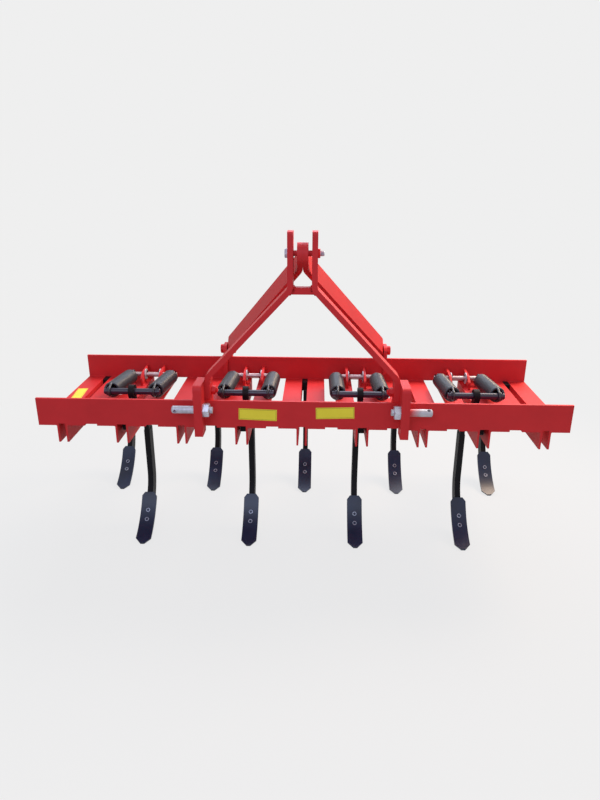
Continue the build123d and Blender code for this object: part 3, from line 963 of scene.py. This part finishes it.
@dataclass
class Welds:
    """The beads that hold the frame together, painted over with it."""

    size: float = 3.6
    spacer_size: float = 5.2
    board: tuple[float, float] = (4.0, 71.0)
    rail_foot_y: float = 65.0
    rear_rail_y: float = 564.0
    rear_rail_back: float = 574.0
    slot_halves: tuple[float, float] = (17.0, 12.3)
    lug_sides: tuple[float, float] = (34.0, 44.0)
    lug_front_y: float = 445.0
    lug_rear_z: float = 55.0
    plate_sides: tuple[float, float] = (357.0, 387.0)
    bracket_sides: tuple[float, float] = (349.0, 364.0)
    mast_foot_side: float = 337.0
    rail_front_z: tuple[float, float] = (5.0, 96.0)
    foot_front_y: float = 20.0
    foot_top_z: float = 10.0
    bracket_z: tuple[float, float] = (34.0, 96.0)
    spacer_y: tuple[float, float] = (28.0, 57.0)
    spacer_top: tuple[float, float] = (32.0, 513.0)
    spacer_corner: tuple[float, float] = (32.5, 503.0)
    spacer_bottom: tuple[float, float] = (44.5, 490.0)

    def lay(self, name: str, runs: list[tuple[float, ...]], size: float) -> None:
        """Lays beads of half-width size as one piece, each from the start to the end of its run."""
        beads = [Bench.bead(place(*run[:3]), place(*run[3:]), size) for run in runs]
        Bench.put_away(name, beads, RED_ENAMEL, angle=80.0)

    def board_runs(self) -> list[tuple[float, ...]]:
        """Lists the beads across the cross angles, at the rails.

        Returns:
            Start and end of each bead.
        """
        runs = []
        for number in TINE_NUMBERS:
            sprung = number in SPRUNG_TINES
            half = self.slot_halves[0 if sprung else 1]
            lines = [self.rail_foot_y, self.rear_rail_y] + ([] if sprung else [self.rear_rail_back])
            for hand in (-1, 1):
                near, far = (tine_x(number) + hand * (half + reach) for reach in self.board)
                runs += [(near, y, 0.0, far, y, 0.0) for y in lines]
        return runs

    def lug_runs(self) -> list[tuple[float, ...]]:
        """Lists the beads along both sides of each spring lug.

        Returns:
            Start and end of each bead.
        """
        runs = []
        for number in SPRUNG_TINES:
            for hand in (-1, 1):
                for side in self.lug_sides:
                    x, y = tine_x(number) + hand * side, self.rear_rail_y
                    runs.append((x, self.lug_front_y, 0.0, x, y - 4.0, 0.0))
                    runs.append((x, y, 4.0, x, y, self.lug_rear_z))
        return runs

    def hitch_runs(self) -> list[tuple[float, ...]]:
        """Lists the beads of the hitch plates, the mast's feet and the stay brackets.

        Returns:
            Start and end of each bead.
        """
        runs = []
        low, high = self.rail_front_z
        start, end, top = self.foot_front_y, self.rail_foot_y, self.foot_top_z
        for hand in (-1, 1):
            for side in self.plate_sides:
                x = hand * side
                runs += [(x, 0.0, low, x, 0.0, high), (x, start, top, x, end, top)]
            foot = hand * self.mast_foot_side
            runs.append((foot, start, top, foot, end, top))
            for side in self.bracket_sides:
                x = hand * side
                for y in (self.rear_rail_y, self.rear_rail_back):
                    runs.append((x, y, self.bracket_z[0], x, y, self.bracket_z[1]))
        return runs

    def spacer_runs(self) -> list[tuple[float, ...]]:
        """Lists the heavier beads round the ends of the mast's spacer.

        Returns:
            Start and end of each bead.
        """
        runs = []
        front, rear = self.spacer_y
        for hand in (-1, 1):
            (top, top_z), (corner, corner_z), (bottom, bottom_z) = (
                (hand * x, z) for x, z in (self.spacer_top, self.spacer_corner, self.spacer_bottom)
            )
            runs.append((top, front, top_z, top, rear, top_z))
            runs.append((top, front, top_z - 1.0, corner, front, corner_z))
            runs.append((corner, front, corner_z, bottom, front, bottom_z))
        return runs

    def build(self) -> None:
        """Lays all the beads."""
        self.lay("weld_beads_boards", self.board_runs(), self.size)
        self.lay("weld_beads_lugs", self.lug_runs(), self.size)
        self.lay("weld_beads_hitch", self.hitch_runs(), self.size)
        self.lay("weld_beads_spacer", self.spacer_runs(), self.spacer_size)


@dataclass
class GapStrips:
    """Strips that close the gaps between the cross angles on the outer side of each sprung pair."""

    tines: tuple[tuple[int, int], ...] = ((2, -1), (4, -1), (6, 1), (8, 1))
    inner: float = 92.2
    outer: float = 137.5
    front_y: float = 66.0
    rear_y: float = 326.0
    thickness: float = 6.0
    sink: float = 0.4
    edge: float = 0.8

    def build(self) -> None:
        """Builds the strips, just under the tops of the angles and with rounded edges."""
        strips = []
        size = mm(self.outer - self.inner, self.rear_y - self.front_y, self.thickness)
        for number, hand in self.tines:
            x = tine_x(number) + hand * (self.inner + self.outer) / 2
            middle = place(x, (self.front_y + self.rear_y) / 2, -self.thickness / 2 - self.sink)
            Bench.clear()
            bpy.ops.mesh.primitive_cube_add(size=1.0, location=middle)
            bpy.context.view_layer.objects.active.scale = size
            strip = Bench.take("strip")
            bevel = strip.modifiers.new("edges", "BEVEL")
            bevel.width, bevel.segments, bevel.limit_method = self.edge / 1000.0, 2, "NONE"
            Bench.apply(strip)
            strips.append(strip)
        Bench.put_away("gap_strips", strips, RED_ENAMEL)


@dataclass
class Label:
    """A blank vinyl label with a printed line round it."""

    name: str
    corner: tuple[float, float, float]
    along: tuple[float, float, float]
    up: tuple[float, float, float]
    width: float = 141.0
    height: float = 44.0
    thickness: float = 0.3
    margin: float = 2.6
    line: float = 1.2

    def build(self) -> None:
        """Builds the film and the line on it."""
        along = Vector(self.along).normalized()
        up = Vector(self.up).normalized()
        out = along.cross(up)
        turn = Matrix((along, up, out)).transposed().to_4x4()
        middle = place(*self.corner) + (along * self.width + up * self.height) / 2000.0
        Bench.clear()
        bpy.ops.mesh.primitive_plane_add(size=1.0)
        film = Bench.take(self.name)
        film.data.transform(Matrix.Diagonal((self.width / 1000.0, self.height / 1000.0, 1.0, 1.0)))
        Bench.open_mesh()
        bpy.ops.mesh.extrude_region_move(TRANSFORM_OT_translate={"value": mm(0, 0, self.thickness)})
        bpy.ops.mesh.inset(thickness=self.margin / 1000.0)
        bpy.ops.mesh.inset(thickness=self.line / 1000.0)
        Bench.close_mesh()
        film.data.materials.append(YELLOW_VINYL.make())
        film.data.materials.append(LABEL_INK.make())
        for face in film.data.polygons:
            x, y = (abs(share) * 1000.0 for share in face.center[:2])
            gap = min(self.width / 2 - x, self.height / 2 - y)
            inked = face.normal.z > 0.9 and self.margin < gap < self.margin + self.line
            face.material_index = 1 if inked else 0
        film.data.transform(Matrix.Translation(middle) @ turn)
        Bench.put_away(self.name, [film], YELLOW_VINYL)


# Two labels on the front rail, tipped a little, and one along the outer cross angle on the left.
LABELS = (
    Label("front_label_left", (-233.5, 0.0, 27.6), (1.0, 0.0, -0.031), (0.031, 0.0, 1.0)),
    Label("front_label_right", (53.0, 0.0, 33.6), (1.0, 0.0, 0.031), (-0.031, 0.0, 1.0)),
    Label("board_label", (-977.4, 391.0, 0.0), (0.096, -0.995, 0.0), (0.995, 0.096, 0.0), height=42.0),
)


@dataclass(frozen=True)
class Lamp:
    """A round soft lamp. Places are in metres in the scene, and its power is in watts."""

    name: str
    where: tuple[float, float, float]
    target: tuple[float, float, float]
    size: float
    power: float
    colour: str

    def hang(self) -> None:
        """Hangs the lamp and turns it to its target."""
        data = bpy.data.lights.new(self.name, "AREA")
        data.shape = "DISK"
        data.size = self.size
        data.energy = self.power
        data.color = linear(self.colour)[:3]
        lamp = bpy.data.objects.new(self.name, data)
        bpy.context.scene.collection.objects.link(lamp)
        lamp.location = self.where
        aimed = Vector(self.target) - Vector(self.where)
        lamp.rotation_euler = aimed.to_track_quat("-Z", "Y").to_euler()


@dataclass
class Studio:
    """Pale floor, soft light and the camera at the photograph's viewpoint.

    The floor is all backdrop from clear_radius outwards, in metres, and takes some shadow inside
    shadow_radius, where glow is the share of the backdrop.
    """

    backdrop: str = "EFEFEF"
    sky: str = "F0F4FF"
    sky_strength: float = 0.5
    floor_near: str = "DCDCDC"
    floor_bounce: str = "B0B0B0"
    shadow_radius: float = 0.9
    clear_radius: float = 2.4
    glow: float = 0.88
    # A warm key high on the right, a cool fill in front and a wide lamp behind.
    lamps: tuple[Lamp, ...] = (
        Lamp("key", (2.5, 1.5, 3.5), (0.0, 0.0, 0.5), 1.8, 180.0, "FFE0C0"),
        Lamp("fill", (-0.8, -3.6, 3.0), (0.0, -0.2, 0.6), 2.6, 46.0, "C6D6FF"),
        Lamp("back", (0.3, 2.0, 3.0), (0.0, 0.2, 0.2), 3.0, 80.0, "DDE8FF"),
    )
    camera_place: tuple[float, float, float] = (54.77, -2172.3, 919.23)
    focal_pixels: float = 634.77
    image_height: float = 800.0
    turn: float = 1.612
    tilt: float = 20.48
    roll: float = 0.241

    def camera(self) -> None:
        """Sets the camera up where the photograph was taken from."""
        data = bpy.data.cameras.new("camera")
        data.sensor_width = 36.0
        data.lens = self.focal_pixels * data.sensor_width / self.image_height
        data.clip_start, data.clip_end = 0.05, 100.0
        camera = bpy.data.objects.new("camera", data)
        bpy.context.scene.collection.objects.link(camera)
        camera.matrix_world = (
            Matrix.Translation(place(*self.camera_place))
            @ Matrix.Rotation(math.radians(self.turn), 4, "Z")
            @ Matrix.Rotation(math.radians(90.0 - self.tilt), 4, "X")
            @ Matrix.Rotation(math.radians(self.roll), 4, "Z")
        )
        bpy.context.scene.camera = camera

    def seen_or_lit(
        self, tree: bpy.types.NodeTree, seen: bpy.types.NodeSocket, lit: bpy.types.NodeSocket
    ) -> bpy.types.NodeSocket:
        """Mixes what the camera and mirrors see with what lights the object.

        Args:
            tree: The node tree of the floor or of the world.
            seen: Shader for the camera, for reflections and for what is seen through glass.
            lit: Shader for all other light.

        Returns:
            The mixed shader.
        """
        rays = add_node(tree, "ShaderNodeLightPath")
        either = rays.outputs["Is Camera Ray"]
        for name in ("Is Glossy Ray", "Is Transmission Ray"):
            pair = {0: either, 1: rays.outputs[name]}
            either = add_node(tree, "ShaderNodeMath", {"operation": "MAXIMUM"}, pair).outputs[0]
        return add_node(tree, "ShaderNodeMixShader", inputs={"Fac": either, 1: lit, 2: seen}).outputs[0]

    def world(self) -> None:
        """Makes the pale surroundings."""
        world = bpy.data.worlds.new("surroundings")
        world.use_nodes = True
        tree = world.node_tree
        tree.nodes.clear()
        seen, lit = (
            add_node(tree, "ShaderNodeBackground", inputs={"Color": linear(colour), "Strength": strength})
            for colour, strength in ((self.backdrop, 1.0), (self.sky, self.sky_strength))
        )
        mixed = self.seen_or_lit(tree, seen.outputs[0], lit.outputs[0])
        add_node(tree, "ShaderNodeOutputWorld", inputs={"Surface": mixed})
        bpy.context.scene.world = world

    def floor(self) -> None:
        """Lays the floor, as pale as the surroundings, with the object's shadow near it."""
        Bench.clear()
        bpy.ops.mesh.primitive_plane_add(size=40.0, location=(0, 0, 0))
        floor = Bench.take("floor")
        material = bpy.data.materials.new("matt_pale_floor")
        material.use_nodes = True
        tree = material.node_tree
        tree.nodes.clear()
        near = add_node(tree, "ShaderNodeBsdfDiffuse", inputs={"Color": linear(self.floor_near)})
        bounce = add_node(tree, "ShaderNodeBsdfDiffuse", inputs={"Color": linear(self.floor_bounce)})
        backdrop = {"Color": linear(self.backdrop), "Strength": 1.0}
        glow = add_node(tree, "ShaderNodeEmission", inputs=backdrop)
        where = add_node(tree, "ShaderNodeTexCoord").outputs["Object"]
        away = add_node(tree, "ShaderNodeVectorMath", {"operation": "LENGTH"}, {0: where})
        radii = {"From Min": self.shadow_radius, "From Max": self.clear_radius}
        limits = {"Value": away.outputs["Value"], **radii, "To Min": self.glow, "To Max": 1.0}
        share = add_node(tree, "ShaderNodeMapRange", {"interpolation_type": "SMOOTHSTEP"}, limits)
        blend = {"Fac": share.outputs["Result"], 1: near.outputs[0], 2: glow.outputs[0]}
        part = add_node(tree, "ShaderNodeMixShader", inputs=blend)
        mixed = self.seen_or_lit(tree, part.outputs[0], bounce.outputs[0])
        add_node(tree, "ShaderNodeOutputMaterial", inputs={"Surface": mixed})
        floor.data.materials.append(material)

    def build(self) -> None:
        """Sets the whole studio up."""
        bpy.context.scene.view_settings.view_transform = "Standard"
        self.camera()
        self.world()
        self.floor()
        for lamp in self.lamps:
            lamp.hang()


def paint_frame(nodes: dict[str, bpy.types.Object]) -> None:
    """Gives every CAD node the material of its real finish.

    Args:
        nodes: The CAD nodes by name.
    """
    for name, node in nodes.items():
        material = finish_of(name).make()
        if not node.material_slots:
            node.data.materials.append(material)
        for slot in node.material_slots:
            slot.material = material


def main() -> None:
    """Loads the frame, dresses it and sets up the studio."""
    logging.basicConfig(level=logging.INFO, format="%(message)s")
    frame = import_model()
    paint_frame(frame["nodes"])
    Studio().build()
    springs = CoilSprings()
    keepers = SpringKeepers(springs)
    for number in SPRUNG_TINES:
        springs.build(number)
        keepers.build(number)
    ShovelBolts().build()
    Fasteners().build()
    Welds().build()
    GapStrips().build()
    for label in LABELS:
        label.build()


if __name__ == "__main__":
    main()
